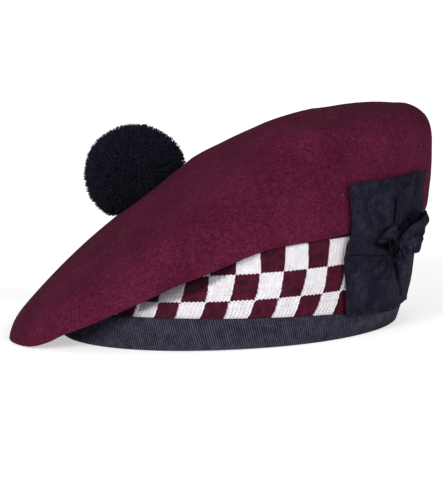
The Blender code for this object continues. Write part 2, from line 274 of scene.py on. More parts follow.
class Finish:
    """A material under construction."""

    def __init__(self, name, roughness, sheen, specular, sheen_tint=(1, 1, 1)):
        self.material = bpy.data.materials.new(name)
        self.material.use_nodes = True
        self.tree = self.material.node_tree
        self.shader = self.tree.nodes["Principled BSDF"]
        self.shader.inputs["Roughness"].default_value = roughness
        self.shader.inputs["Sheen Weight"].default_value = sheen
        self.shader.inputs["Sheen Roughness"].default_value = 0.5
        self.shader.inputs["Sheen Tint"].default_value = (*sheen_tint, 1)
        self.shader.inputs["Specular IOR Level"].default_value = specular
        self.place = self.add("ShaderNodeTexCoord", {}).outputs["Object"]

    def add(self, kind, inputs, **settings):
        return add_node(self.tree, kind, inputs, settings)

    def noise(self, per_metre, detail, roughness=0.5):
        return self.add("ShaderNodeTexNoise", {
            "Vector": self.place, "Scale": per_metre, "Detail": detail, "Roughness": roughness,
        }).outputs["Fac"]

    def marked(self, name):
        """A number that the points of a mesh carry."""
        return self.add("ShaderNodeAttribute", {}, attribute_name=name).outputs["Fac"]

    def math(self, operation, first, second=0.0, third=0.0):
        return self.add("ShaderNodeMath", {0: first, 1: second, 2: third}, operation=operation).outputs[0]

    def ramp(self, value, stops):
        node = self.add("ShaderNodeValToRGB", {"Fac": value})
        ramp = node.color_ramp
        for (place, colour), element in zip(stops, ramp.elements):
            element.position, element.color = place, (*colour, 1)
        for place, colour in stops[2:]:
            ramp.elements.new(place).color = (*colour, 1)
        return node.outputs["Color"]

    def mix(self, share, shown, colour):
        """What was shown so far, with a share of a plain colour. The node counts its colours from input 6."""
        return self.add("ShaderNodeMix", {0: share, 6: shown, 7: (*colour, 1)}, data_type="RGBA").outputs[2]

    def drive(self, name, value):
        """Links a socket to an input of the shader."""
        self.tree.links.new(value, self.shader.inputs[name])

    def bump(self, height, distance, strength):
        bump = self.add("ShaderNodeBump", {"Height": height, "Distance": distance, "Strength": strength})
        self.drive("Normal", bump.outputs["Normal"])


def mark(mesh, name, values):
    """Gives each point of a mesh a number that its finish reads by name."""
    layer = mesh.attributes.new(name, "FLOAT", "POINT")
    layer.data.foreach_set("value", np.asarray(values, np.float32).ravel())


def sums(finish, parts):
    """Adds several heights, each times its share."""
    total = None
    for value, share in parts:
        part = finish.math("MULTIPLY", value, share)
        total = part if total is None else finish.math("ADD", total, part)
    return total


print("finish helper ready")

# %% [markdown]
# Milled wool is knitted, then shrunk and brushed until the stitches disappear under a short nap. Its
# colour is mottled by the way the fibres lie, with a few pale specks of lint, and it has almost no gloss.
# %% Milled wool
MAROON_DEEP, MAROON, MAROON_LIT = (0.027, 0.0030, 0.0100), (0.072, 0.0078, 0.0255), (0.150, 0.0200, 0.0560)
LINT = (0.34, 0.20, 0.24)


def milled_wool():
    wool = Finish("milled_wool", roughness=0.95, sheen=0.02, sheen_tint=(0.85, 0.40, 0.55), specular=0.01)
    cloudy = wool.noise(38, detail=3)
    mottled = wool.noise(420, detail=4, roughness=0.65)
    grain = wool.noise(1300, detail=3, roughness=0.7)
    shade = sums(wool, [(cloudy, 0.17), (mottled, 0.26), (grain, 0.57)])
    colour = wool.ramp(shade, [(0.365, MAROON_DEEP), (0.51, MAROON), (0.67, MAROON_LIT)])
    specks = wool.add("ShaderNodeTexVoronoi", {"Vector": wool.place, "Scale": 260.0, "Randomness": 1.0})
    near = wool.math("LESS_THAN", specks.outputs["Distance"], 0.055)
    rare = wool.math("GREATER_THAN", wool.noise(95, detail=1), 0.66)
    wool.drive("Base Color", wool.mix(wool.math("MULTIPLY", near, rare), colour, LINT))
    wool.bump(sums(wool, [(mottled, 0.45), (grain, 0.55)]), 0.0011, 1.0)
    return wool.material


MILLED_WOOL = milled_wool()
print("finish", MILLED_WOOL.name)

# %% [markdown]
# The crown is one hollow wall of felt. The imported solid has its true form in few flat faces, so a copy is
# merged, its triangles are paired into quads again and subdivided, which rounds it.
# %% The crown's wall
CROWN_LEVELS = 2


def merged_copy(node):
    """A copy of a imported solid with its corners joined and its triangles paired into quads."""
    mesh = bmesh.new()
    mesh.from_mesh(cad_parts[node].data)
    bmesh.ops.remove_doubles(mesh, verts=mesh.verts, dist=1e-5)
    bmesh.ops.join_triangles(
        mesh, faces=mesh.faces, angle_face_threshold=math.radians(50), angle_shape_threshold=math.radians(70)
    )
    copy = bpy.data.meshes.new(node + "_copy")
    mesh.to_mesh(copy)
    mesh.free()
    return copy


crown = add_piece("felt_crown", merged_copy("crown"), "crown")
print("quads", sum(len(p.vertices) == 4 for p in crown.data.polygons), "of", len(crown.data.polygons))
fine = crown.modifiers.new("fine", "SUBSURF")
fine.levels = fine.render_levels = CROWN_LEVELS
finished(crown)
crown.data.materials.clear()
crown.data.materials.append(MILLED_WOOL)
print(crown.name, triangles(crown), "triangles")

# %% [markdown]
# A hat that has been handled has soft ridges and dents. Each is drawn here as a line in the picture with a
# height and a width, because there it can be set beside the real one, and near it the wall moves towards or
# away from the camera, inner face and outer face together.
# %% Soft folds drawn as lines
CROWN_FOLDS = (  # each: its height in mm, its width in pixels, and its places in the picture
    (-1.2, 16, [(72, 300), (110, 265), (150, 226), (195, 188), (240, 156)]),
    (1.2, 26, [(130, 290), (180, 255), (230, 225), (300, 190), (380, 165)]),
    (-1.6, 3.0, [(420, 118), (423, 140), (421, 176), (424, 192)]),
    (1.2, 3.0, [(427, 125), (429, 150), (427, 180)]),
)
TOP_FOLDS = (
    (1.9, 7, [(275, 140), (325, 133), (365, 136), (392, 145), (408, 158)]),
    (-1.5, 9, [(300, 123), (350, 118), (388, 126)]),
)
WAVE_HEIGHT = 0.35  # of the slight waves all over the felt, in mm


def near_line(x, y, line):
    """Each place's distance from a line, its side of it, and what the line's points carry, blended there."""
    away = np.full(np.shape(x), np.inf)
    side = np.zeros(np.shape(x))
    carried = [side] * (len(line[0]) - 2)
    for (x0, y0, *start), (x1, y1, *end) in zip(line, line[1:]):
        dx, dy = x1 - x0, y1 - y0
        share = np.clip(((x - x0) * dx + (y - y0) * dy) / (dx * dx + dy * dy), 0, 1)
        far = np.hypot(x - x0 - share * dx, y - y0 - share * dy)
        closer = far < away
        away = np.where(closer, far, away)
        side = np.where(closer, np.sign(dx * (y - y0) - dy * (x - x0)), side)
        carried = [np.where(closer, a + share * (b - a), old) for a, b, old in zip(start, end, carried)]
    return away, side, carried


def soft_fold(x, y, line, width, height, steepness=2):
    """A rounded ridge along a line, or a dent where its height is below 0."""
    away = near_line(x, y, line)[0]
    return height * np.exp(-((away / width) ** steepness))


def soft_folds(x, y, lines):
    """Several ridges and dents together."""
    return sum(soft_fold(x, y, line, width, height) for height, width, line in lines)


def crown_relief(x, y):
    """How far the wall stands towards the camera, by its place in the picture, in metres."""
    waves = WAVE_HEIGHT * np.sin(x / 17 + 0.6 * np.sin(y / 23)) * np.sin(y / 19 + 1.3)
    return (soft_folds(x, y, CROWN_FOLDS) + waves) * MM


print(len(CROWN_FOLDS) + len(TOP_FOLDS), "folds of the crown")

# %% [markdown]
# The felt also stands a little fuller than the plain solid: it is lifted along its top, swells behind the
# cockade, and its lower edge hangs down over the band and, at the wearer's right, almost to the floor.
# Short tables say how far, at places that are read off the picture.
# %% Fullness of the crown
TOP_LIFT = (  # the picture's x, how many mm the top is lifted there, and the picture's y of the outline
    (178, 192, 203, 220, 250, 265, 285, 312, 325, 392, 405, 420, 430),
    (0, 1.4, 1.3, 0.6, 0.6, 1.2, 1.6, 1.0, 0.1, 0.3, 1.4, 1.6, 1.2),
    (152, 163, 155, 146, 130, 125, 119, 111, 108, 103, 106, 113, 130),
)
SIDE_SWELL = (  # the picture's y, how many mm the side swells there, and the picture's x of the outline
    (120, 150, 168, 186, 204, 216, 228, 240),
    (0.5, 0.5, 0.9, 1.8, 3.1, 3.2, 1.5, 0),
    (426, 431, 429.8, 426.3, 421.5, 416.4, 414, 414),
)
EDGE_DROP = (  # the picture's x, how many mm the edge hangs down there, and the picture's y of the edge
    (8, 24, 40, 50, 62, 178, 194, 215, 237, 265, 290, 312, 330, 350),
    (2.6, 2.6, 2.1, 1.5, 0, 0, 0.9, 1.9, 2.8, 2.9, 2.2, 1.5, 0.9, 0),
    (342, 342, 340, 338, 335, 286, 279, 268, 257, 246, 241, 239, 237, 234),
)
LIFT_FADES = (8, 42)  # pixels below the outline between which the lift dies away
SWELL_FADES = 7  # pixels inside the outline over which the swell sets in
DROP_FADES = (34, 3)  # pixels above the edge between which the drop sets in
FRONT_FADES, TOP_FADES = (4 * MM, 30 * MM), (0, 20 * MM)  # how far in front of the head axis relief sets in
SIDE_FADES = (60, 90)  # left of these x of the picture the drop goes round the side of the hat as well
CROWN_LOWEST = 0.5 * MM  # the felt stays this far above the floor


def looked_up(place, table):
    """What a table's other rows say at a place in its first row."""
    return [np.interp(place, table[0], row) for row in table[1:]]


places = numbers_of(crown.data.vertices, "co")
away_from_axis = (places - np.array(HEAD_AXIS)) @ np.array(TO_CAMERA)
facing = smoothstep(*FRONT_FADES, away_from_axis)
picture_x, picture_y = picture_places(places)
lift, top_y = looked_up(picture_x, TOP_LIFT)
swell, side_x = looked_up(picture_y, SIDE_SWELL)
drop, edge_y = looked_up(picture_x, EDGE_DROP)
lift = lift * (1 - smoothstep(top_y + LIFT_FADES[0], top_y + LIFT_FADES[1], picture_y))
swell = swell * smoothstep(side_x - SWELL_FADES, side_x, picture_x)
drop = drop * smoothstep(edge_y - DROP_FADES[0], edge_y - DROP_FADES[1], picture_y)
drop = drop * np.maximum(facing, 1 - smoothstep(*SIDE_FADES, picture_x))
relief = crown_relief(picture_x, picture_y) * facing
ridge = soft_folds(picture_x, picture_y, TOP_FOLDS) * smoothstep(*TOP_FADES, away_from_axis)

places += relief[:, None] * np.array(TO_CAMERA)
places += swell[:, None] * MM * np.array(CAMERA_PLACE.to_3x3())[:, 0]
places[:, 2] += (ridge + lift - drop) * MM
places[:, 2] = np.maximum(places[:, 2], CROWN_LOWEST)
crown.data.vertices.foreach_set("co", places.ravel())
crown.data.update()
print("relief from", round(relief.min() / MM, 2), "to", round(relief.max() / MM, 2), "mm")

# %% [markdown]
# The knitted band leans with the crown and is rolled in at its foot. Rays from outside find its surface
# at 48 directions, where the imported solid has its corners, and a smooth curve runs through them. Places on
# the band are then given as a length round it and a height up it, which is how knitting is counted.
# %% Sizes of the band, and rays that find it
DICE_HEIGHT = 13.2 * MM
DICE_START = 11.8 * MM
DICE_TOP = DICE_START + 3 * DICE_HEIGHT
BAND_TOP = 54.0 * MM
ROWS = 13  # rows of stitches in a die
KNIT_FOOT = 2.1 * MM  # where the knitting begins, inside the ribbon
GIRDLE_UP = 35 * MM  # where the band's length is measured
CORNERS = 48
NEAR_CORNER = 0.15  # how far a rim's point may lie from its direction, as a share of the step to the next
RIM_DEPTH = 0.9 * MM  # points of the rim lie less than this below its top
BELOW_RIM = 0.15 * MM  # rays at the rim pass this far below it
OFF_CORNER = 1e-4  # radians, so that no ray runs along an edge
FAR = 0.2  # where rays from outside start

band_tree = surface("diced_band")
ribbon_tree = surface("headband_ribbon")


def outward(angle):
    """The level direction at an angle round the head axis."""
    return Vector((math.cos(angle), math.sin(angle), 0))


def first_hit(tree, start, direction):
    """Where a ray meets a solid. Where it slips past an edge, it tries again a hair lower or higher."""
    for nudge in (0, -0.1, 0.1, -0.2, 0.2, -0.4, 0.4, -0.7, 0.7, -1.1, 1.1):  # mm
        hit = tree.ray_cast(start + nudge * MM * UP, direction)[0]
        if hit is not None:
            return hit - nudge * MM * UP
    raise ValueError(f"nothing is met from {start}")


def from_outside(tree, angle, height):
    """The outer face of a solid, at an angle round the head axis and a height."""
    start = HEAD_AXIS + FAR * outward(angle) + float(height) * UP
    return first_hit(tree, start, -outward(angle))


def from_inside(tree, angle, height):
    """The inner face of a solid, at an angle round the head axis and a height."""
    return first_hit(tree, HEAD_AXIS + float(height) * UP, outward(angle))


def corner_heights(node):
    """The height of the outer wall's upper edge in each direction."""
    rim = [[] for _ in range(CORNERS)]
    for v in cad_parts[node].data.vertices:
        away = v.co - HEAD_AXIS
        turn = math.atan2(away.y, away.x) / (2 * math.pi) * CORNERS
        if abs(turn - round(turn)) < NEAR_CORNER:
            rim[round(turn) % CORNERS].append((v.co.z, away.xy.length))
    tops = []
    for found in rim:
        highest = max(found)[0]
        tops.append(max((far, up) for up, far in found if up > highest - RIM_DEPTH)[1])
    return np.array(tops)


print("rays in", CORNERS, "directions")

# %% The band's surface
band_tops = corner_heights("diced_band")
ribbon_tops = corner_heights("headband_ribbon")
knit_ups = np.concatenate([
    np.linspace(KNIT_FOOT, DICE_START, 5),
    np.linspace(DICE_START, DICE_TOP, 3 * ROWS + 1)[1:],
    [(DICE_TOP + BAND_TOP) / 2, BAND_TOP],
])
turns = np.arange(CORNERS) * 2 * math.pi / CORNERS + OFF_CORNER


def real_height(up):
    """The floor height of a place on the band, which sinks where the crown pulls the band down."""
    return up * (1 + up / BAND_TOP * (band_tops / BAND_TOP - 1))


def traced(up):
    """The band's outer face in every direction, at a height up it."""
    found = []
    for turn, height, top in zip(turns, real_height(up), band_tops):
        hit = from_outside(band_tree, turn, min(height, top - BELOW_RIM))
        found.append((hit.x, hit.y, height))
    return found


band_corners = np.array([traced(up) for up in knit_ups])


def curve_through(corners, index):
    """A smooth closed curve through corners, at places counted in corners."""
    base = np.floor(index).astype(int)
    share = (index - base)[..., None]
    a, b, c, d = (corners[..., (base + step) % CORNERS, :] for step in (-1, 0, 1, 2))
    bend = (2 * a - 5 * b + 4 * c - d) * share**2 + (3 * b - a - 3 * c + d) * share**3
    return 0.5 * (2 * b + (c - a) * share + bend)


steps = np.linspace(0, CORNERS, 40 * CORNERS + 1)
girdle = curve_through(band_corners[np.searchsorted(knit_ups, GIRDLE_UP)], steps)
lengths = np.concatenate([[0], np.cumsum(np.linalg.norm(np.diff(girdle, axis=0), axis=1))])
BAND_ROUND = float(lengths[-1])


def index_at(length):
    """The place among the corners of a length round the band."""
    return np.interp(np.mod(length, BAND_ROUND), lengths, steps)


def band_places(length, up):
    """Points of the band's outside, for lengths round it and heights up it."""
    index = index_at(length)
    level = np.interp(up, knit_ups, np.arange(len(knit_ups)))
    low = np.minimum(np.floor(level).astype(int), len(knit_ups) - 2)
    share = (level - low)[..., None]
    rows = np.array([curve_through(corners, index) for corners in band_corners])
    pick = np.arange(len(length))
    return rows[low, pick] * (1 - share) + rows[low + 1, pick] * share


print("band is", round(BAND_ROUND / MM, 1), "mm round")

# %% [markdown]
# Knitted dice are made stitch by stitch: each die is 6 stitches wide and 13 rows high, in white or maroon
# yarn. Milling pulls the columns of stitches aslant, most of all near the ribbon. The ground under the
# stitches is a smooth knitted wall in the same two colours, so that no gap shows through, though its white
# is painted darker than the white yarn, as shade between the stitches. Where the crown's edge overhangs the
# band, the yarn lies in deep shade, which soft studio light alone would wash out. So the mesh carries a
# number, "shaded", and the yarn's colour goes darker by it.
# %% The dice
DICE_ROUND = 46
STITCHES = 6
DICE_WIDTH = BAND_ROUND / DICE_ROUND
DICE_OFFSET = 400.5 * MM
STITCH_WIDTH = DICE_WIDTH / STITCHES
STITCH_HEIGHT = DICE_HEIGHT / ROWS
WALL = 2.2 * MM
WHITE_WIDER = 0.008  # how far a white die spreads at each side, as a share of a die
GROUND_SUNK = 0.5 * MM
SLANT, SLANT_EASES = 0.22, 0.008  # mm aside to a mm of height, and how much less of it each mm higher
WAVER, WAVERS_ROUND = 0.3, 19  # in mm, and how many times round the band
SHADE_LINE = (  # the picture's x and y of the line above which the crown's edge shades the band
    (140, 150, 165, 180, 195, 205, 215, 225, 231, 238),
    (312, 308, 303, 299, 294, 287, 283, 277, 270, 256),
)
SHADE_DEPTH, SHADE_EDGE = 0.62, 2.2  # as a share, and in pixels
IN_SHADE = 0.1  # what deep shade leaves of a yarn's dark colour


def shade_below_crown(points):
    """How much the crown's edge shades the yarn at each point of the band in front."""
    x, y = picture_places(points)
    bound = np.interp(x, *SHADE_LINE, left=0, right=0)
    in_front = np.asarray(points)[..., 1] < 0
    return SHADE_DEPTH * (1 - smoothstep(bound - SHADE_EDGE, bound + SHADE_EDGE, y)) * in_front


def slanted(length, up):
    """Where a column of stitches comes to lie at a height, with a slight waver."""
    above = (up - (DICE_START + DICE_TOP) / 2) / MM
    waver = WAVER * np.sin(2 * math.pi * WAVERS_ROUND * length / BAND_ROUND + above / 5)
    return length + (SLANT * above - SLANT_EASES * above**2 + waver) * MM


def is_white(column, row):
    """Whether a stitch is white, by its column from the first die and its row from the lowest."""
    return ((column // STITCHES + row // ROWS) % 2 == 0) & (row < 3 * ROWS)


def yarn(name, pale, dark, sheen):
    """Wool yarn, mottled between two colours by its hairs."""
    wool = Finish(name, roughness=0.92, sheen=sheen, specular=0.05)
    hairs = wool.noise(1500, detail=3, roughness=0.75)
    patches = wool.noise(260, detail=2)
    colour = wool.ramp(sums(wool, [(hairs, 0.55), (patches, 0.45)]), [(0.35, dark), (0.62, pale)])
    in_shade = tuple(IN_SHADE * part for part in dark)
    wool.drive("Base Color", wool.mix(wool.marked("shaded"), colour, in_shade))
    wool.bump(hairs, 0.0003, 0.8)
    return wool.material


WHITE_YARN = yarn("white_yarn", pale=(0.86, 0.83, 0.87), dark=(0.66, 0.63, 0.67), sheen=0.05)
MAROON_YARN = yarn("maroon_yarn", pale=(0.100, 0.0120, 0.0310), dark=(0.024, 0.0030, 0.0085), sheen=0.02)
# the ground's white is darker than the white yarn: painted shade between the stitches
WHITE_GROUND_SHADED = yarn("white_ground_shaded", pale=(0.62, 0.59, 0.63), dark=(0.46, 0.44, 0.47), sheen=0.0)

columns = DICE_ROUND * STITCHES
edges = DICE_OFFSET + np.arange(columns) * STITCH_WIDTH
ground_points = np.array([band_places(slanted(edges, up), np.full(columns, up)) for up in knit_ups])
ground = grid_mesh("knitted_ground", ground_points, ring=True)
ground.materials.append(WHITE_GROUND_SHADED)
ground.materials.append(MAROON_YARN)
lowest = np.searchsorted(knit_ups, DICE_START + 0.1 * MM) - 1
face_rows = np.maximum(np.repeat(np.arange(len(knit_ups) - 1), columns) - lowest, 0)
face_columns = np.tile(np.arange(columns), len(knit_ups) - 1)
ground_colours = np.where(is_white(face_columns, face_rows), 0, 1)
ground.polygons.foreach_set("material_index", ground_colours.astype(np.int32))
knitted_ground = add_piece("knitted_ground", ground, "diced_band")
sunk = ground_points.reshape(-1, 3) - GROUND_SUNK * numbers_of(ground.vertices, "normal")
ground.vertices.foreach_set("co", sunk.ravel())
mark(ground, "shaded", shade_below_crown(sunk))
thicken(knitted_ground, WALL - GROUND_SUNK)
print(knitted_ground.name, triangles(knitted_ground), "triangles,", columns, "stitches round")

# %% [markdown]
# Stitches and tufts of yarn repeat thousands of times, which is work for Geometry Nodes. A tree takes its
# sizes as named inputs, and its result is turned into a plain mesh before anything else is done with it.
# %% Helpers for Geometry Nodes
class Tree:
    """A Geometry Nodes tree under construction, with named inputs."""

    def __init__(self, name, **inputs):
        self.group = bpy.data.node_groups.new(name, "GeometryNodeTree")
        face = self.group.interface
        face.new_socket("Geometry", in_out="INPUT", socket_type="NodeSocketGeometry")
        face.new_socket("Geometry", in_out="OUTPUT", socket_type="NodeSocketGeometry")
        kinds = {float: "NodeSocketFloat", int: "NodeSocketInt", bpy.types.Material: "NodeSocketMaterial"}
        for title, value in inputs.items():
            socket = face.new_socket(title, in_out="INPUT", socket_type=kinds[type(value)])
            socket.default_value = value
        self.start = self.group.nodes.new("NodeGroupInput").outputs
        self.end = self.group.nodes.new("NodeGroupOutput").inputs["Geometry"]

    def add(self, kind, inputs, **settings):
        return add_node(self.group, kind, inputs, settings)

    def math(self, operation, first, second):
        return self.add("ShaderNodeMath", {0: first, 1: second}, operation=operation).outputs[0]

    def vector(self, x=0.0, y=0.0, z=0.0):
        return self.add("ShaderNodeCombineXYZ", {"X": x, "Y": y, "Z": z}).outputs[0]

    def random(self, low, high):
        """A vector between two others, drawn with the tree's seed."""
        drawn = {"Min": low, "Max": high, "Seed": self.start["Seed"]}
        return self.add("FunctionNodeRandomValue", drawn, data_type="FLOAT_VECTOR").outputs[0]

    def named(self, name):
        """A direction that each point carries."""
        node = self.add("GeometryNodeInputNamedAttribute", {"Name": name}, data_type="FLOAT_VECTOR")
        return node.outputs[0]

    def finish(self, geometry, material):
        """Ends the tree in real geometry with a material on it."""
        real = self.add("GeometryNodeRealizeInstances", {"Geometry": geometry}).outputs[0]
        painted = self.add("GeometryNodeSetMaterial", {"Geometry": real, "Material": material}).outputs[0]
        self.group.links.new(painted, self.end)
        return self.group


def grow(name, source, group, slot, **values):
    """Runs a tree on a source mesh and returns the result as a new piece with a plain mesh."""
    carrier = bpy.data.objects.new(name, source)
    bpy.context.scene.collection.objects.link(carrier)
    modifier = carrier.modifiers.new("grow", "NODES")
    modifier.node_group = group
    for item in group.interface.items_tree:
        if item.in_out == "INPUT" and item.name in values:
            modifier[item.identifier] = values[item.name]
    finished(carrier)
    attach(carrier, "root")
    return carrier


def points_mesh(name, points, **directions):
    """A mesh of loose points that carry named directions."""
    mesh = bpy.data.meshes.new(name)
    mesh.from_pydata(np.asarray(points).tolist(), [], [])
    for title, values in directions.items():
        layer = mesh.attributes.new(title, "FLOAT_VECTOR", "POINT")
        layer.data.foreach_set("vector", np.asarray(values, np.float32).ravel())
    return mesh


print("tree helper ready")

# %% [markdown]
# One stitch shows as a V: two short legs of yarn that lean towards each other. The tree puts a V on every
# point of a lattice and turns it to the surface by two directions that the point carries. Its inputs are the
# sizes of the leg, so the knitting can be made looser or tighter in one place. Each leg is a ball of a few
# faces, stretched, because there are over ten thousand stitches.
# %% The stitch tree
def stitch_tree():
    """A V of two legs on every point. Lean is in radians, and Spread is from the middle to a leg."""
    tree = Tree(
        "knit_stitch", LegLength=2.0 * MM, LegWidth=0.82 * MM, LegThickness=0.95 * MM, Lean=0.72,
        Spread=STITCH_WIDTH / 4, Yarn=WHITE_YARN,
    )
    ball = tree.add("GeometryNodeMeshUVSphere", {"Segments": 4, "Rings": 3, "Radius": 0.5}).outputs["Mesh"]
    size = tree.vector(tree.start["LegWidth"], tree.start["LegThickness"], tree.start["LegLength"])
    legs = tree.add("GeometryNodeJoinGeometry", {})
    for side in (-1, 1):
        turn = tree.vector(y=tree.math("MULTIPLY", tree.start["Lean"], float(side)))
        aside = tree.vector(x=tree.math("MULTIPLY", tree.start["Spread"], float(side)))
        leg = tree.add("GeometryNodeTransform", {
            "Geometry": ball, "Translation": aside, "Rotation": turn, "Scale": size,
        }).outputs[0]
        tree.group.links.new(leg, legs.inputs[0])
    smooth = tree.add("GeometryNodeSetShadeSmooth", {"Geometry": legs.outputs[0]}).outputs[0]
    aim = tree.add("FunctionNodeAxesToRotation", {
        0: tree.named("outward"), 1: tree.named("along"),
    }, primary_axis="Y", secondary_axis="X").outputs[0]
    placed = tree.add("GeometryNodeInstanceOnPoints", {
        "Points": tree.start["Geometry"], "Instance": smooth, "Rotation": aim,
    }).outputs[0]
    return tree.finish(placed, tree.start["Yarn"])


STITCH_TREE = stitch_tree()
print("tree", STITCH_TREE.name)

# %% [markdown]
# The lattice has one point to a stitch, moved a little at random, as knitting is never quite even. The white
# stitches are the larger ones and stand a little proud of the maroon, which is why their dice have toothed
# edges. Stitches that the ribbon would hide are left out.
# %% Stitches on the band
STITCH_ROWS = 3 * ROWS + 2  # the dice, and what shows of the seam above them
HEM_OVERLAP = 1.5 * MM  # how far the stitches go on behind the ribbon's edge
UNEVEN_ASIDE, UNEVEN_ROW, UNEVEN_UP = 0.06 * MM, 0.16 * MM, 0.05 * MM
SEAM_DEPTH = 0.6 * MM  # the highest stitches stay this far below the band's top
NUDGE = 0.5 * MM  # how far to either side a direction on the band is measured

rng = np.random.default_rng(7)
column_of, row_of = (a.ravel() for a in np.meshgrid(np.arange(columns), np.arange(STITCH_ROWS)))
ups = DICE_START + (row_of + 0.5) * STITCH_HEIGHT
colour_sign = np.where(is_white(column_of, row_of), 1, -1)
in_die = (column_of % STITCHES + 0.5) / STITCHES - 0.5
spread = colour_sign * in_die * 2 * WHITE_WIDER * DICE_WIDTH
around = slanted(DICE_OFFSET + (column_of + 0.5) * STITCH_WIDTH + spread, ups)
around = around + rng.normal(0, UNEVEN_ASIDE, around.shape) + rng.normal(0, UNEVEN_ROW, STITCH_ROWS)[row_of]
ups = np.minimum(ups + rng.normal(0, UNEVEN_UP, ups.shape), BAND_TOP - SEAM_DEPTH)
centre = band_places(around, ups)
along = band_places(around + NUDGE, ups) - band_places(around - NUDGE, ups)
upward = band_places(around, np.minimum(ups + NUDGE, BAND_TOP)) - band_places(around, ups - NUDGE)
outside = np.cross(along, upward)
outside /= np.linalg.norm(outside, axis=1)[:, None]
ribbon_edge = np.interp(index_at(around), np.arange(CORNERS + 1), np.append(ribbon_tops, ribbon_tops[0]))
shown = centre[:, 2] > ribbon_edge - HEM_OVERLAP
centre, outside, along = centre[shown], outside[shown], along[shown]
white = is_white(column_of, row_of)[shown]
knits = (  # each: its name, which stitches they are, their yarn, how long a leg is and how deep it lies
    ("white_stitches", white, WHITE_YARN, 2.2 * MM, 0.02 * MM),
    ("maroon_stitches", ~white, MAROON_YARN, 2.0 * MM, 0.26 * MM),
)
for name, chosen, material, leg, depth in knits:
    middles = centre[chosen] - outside[chosen] * depth
    lattice = points_mesh(name, middles, outward=-outside[chosen], along=along[chosen])
    mark(lattice, "shaded", shade_below_crown(middles))
    stitches = grow(name, lattice, STITCH_TREE, "diced_wool", Yarn=material, LegLength=leg)
    print(stitches.name, triangles(stitches), "triangles")

# %% [markdown]
# A corded ribbon is woven of fine black yarn over thick threads: the cords catch the light, and the grooves
# between them stay dark. The mesh has the cords as waves and carries a number that says how deep a point
# lies between them or in a fold, and the finish paints shade there by it, going nearly black.
# %% Ribbon finish
# the colour of the shade painted into grooves and folds
PAINTED_SHADE_COLOUR = (0.0010, 0.0010, 0.0022)


def corded_ribbon(name, base, lit, sheen, specular):
    """Black ribbon, mottled between two colours by its weave, with shade painted into its grooves and folds.
    """
    cloth = Finish(name, roughness=0.55, sheen=sheen, sheen_tint=(0.75, 0.72, 0.9), specular=specular)
    weave = cloth.noise(1000, detail=3, roughness=0.75)
    cloudy = cloth.noise(230, detail=3)
    shade = sums(cloth, [(weave, 0.62), (cloudy, 0.38)])
    colour = cloth.ramp(shade, [(0.36, base), (0.66, lit)])
    # painted shade: the colour goes towards nearly black by how deep a point lies in a groove or fold
    cloth.drive("Base Color", cloth.mix(cloth.marked("painted_shade"), colour, PAINTED_SHADE_COLOUR))
    cloth.drive("Roughness", cloth.math("MULTIPLY_ADD", cloudy, 0.25, 0.45))
    cloth.shader.inputs["Specular Tint"].default_value = (0.72, 0.72, 1.0, 1)
    cloth.bump(weave, 0.0002, 0.8)
    return cloth.material


BINDING = corded_ribbon(
    "binding_ribbon", base=(0.0175, 0.0162, 0.0270), lit=(0.090, 0.0835, 0.1270), sheen=0.03, specular=0.03,
)
COCKADE_RIBBON = corded_ribbon(
    "cockade_cloth", base=(0.0050, 0.0046, 0.0105), lit=(0.0315, 0.0288, 0.0505), sheen=0.007, specular=0.010,
)
print("finishes", BINDING.name, COCKADE_RIBBON.name)

# %% [markdown]
# The binding is folded over the lower edge of the band and sewn through. Its cords run across it, so they
# stand upright on the hat, a little aslant and just over a millimetre apart. The ribbon's middle line is
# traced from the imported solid, inner leg, fold and outer leg, and the cords are waves in that sheet.
# %% Sizes of the binding, and its rings
CORDS = 490
CORD_SAMPLES = 4
CORD_DEPTH = 0.22 * MM
CORD_LEAN = 0.2  # mm aside to a mm of height
CORD_PHASE = 0.4  # radians, so that no two points of a wave stand at one height
BINDING_HEIGHT = 17 * MM
RIBBON = 0.7 * MM
LEG_SHARES = np.array([0.2, 0.4, 0.65, 0.9, 1.0])  # of a leg's height
FOLD = (  # shares of the way from the inner leg to the outer one, with heights in mm
    (0.0, 1.2), (0.04, 0.6), (0.16, 0.12), (0.32, 0.0), (0.68, 0.0), (0.84, 0.12), (0.96, 0.6), (1.0, 1.2),
)
FLAT_CORDS = 0.2  # what is left of the cords on most of the inner leg and at the upper edge
BELOW_EDGE = 0.2 * MM
# painted shade where the ribbon's far end turns away, drawn like a fold
PAINTED_END_SHADE = (0.75, 13, [(404, 310), (396, 322), (380, 334)])  # the ribbon goes dark here, as a fold is given


def phased(places, length):
    """The angle of a wave of a certain length, at places along it."""
    return 2 * math.pi * places / length + CORD_PHASE


def ribbon_ring(cast, height):
    """The ribbon's face in every direction, from outside or inside, at a height or at one for each."""
    heights = np.broadcast_to(height, CORNERS)
    return np.array([cast(ribbon_tree, turn, up) for turn, up in zip(turns, heights)])


def hem_ring(out_share, height):
    """A ring of the fold between the two legs."""
    ring = foot_in * (1 - out_share) + foot_out * out_share
    ring[:, 2] = height
    return ring


print(CORDS, "cords,", round(BAND_ROUND / CORDS / MM, 2), "mm apart")

# %% The ribbon binding
leg_tops = ribbon_tops - BELOW_EDGE
outer_leg = [ribbon_ring(from_outside, share * leg_tops) for share in LEG_SHARES]
inner_leg = [ribbon_ring(from_inside, share * leg_tops) for share in LEG_SHARES[::-1]]
foot_out = ribbon_ring(from_outside, FOLD[-1][1] * MM)
foot_in = ribbon_ring(from_inside, FOLD[0][1] * MM)
fold = [hem_ring(share, height * MM) for share, height in FOLD]
profile = np.array([*inner_leg, *fold, *outer_leg])

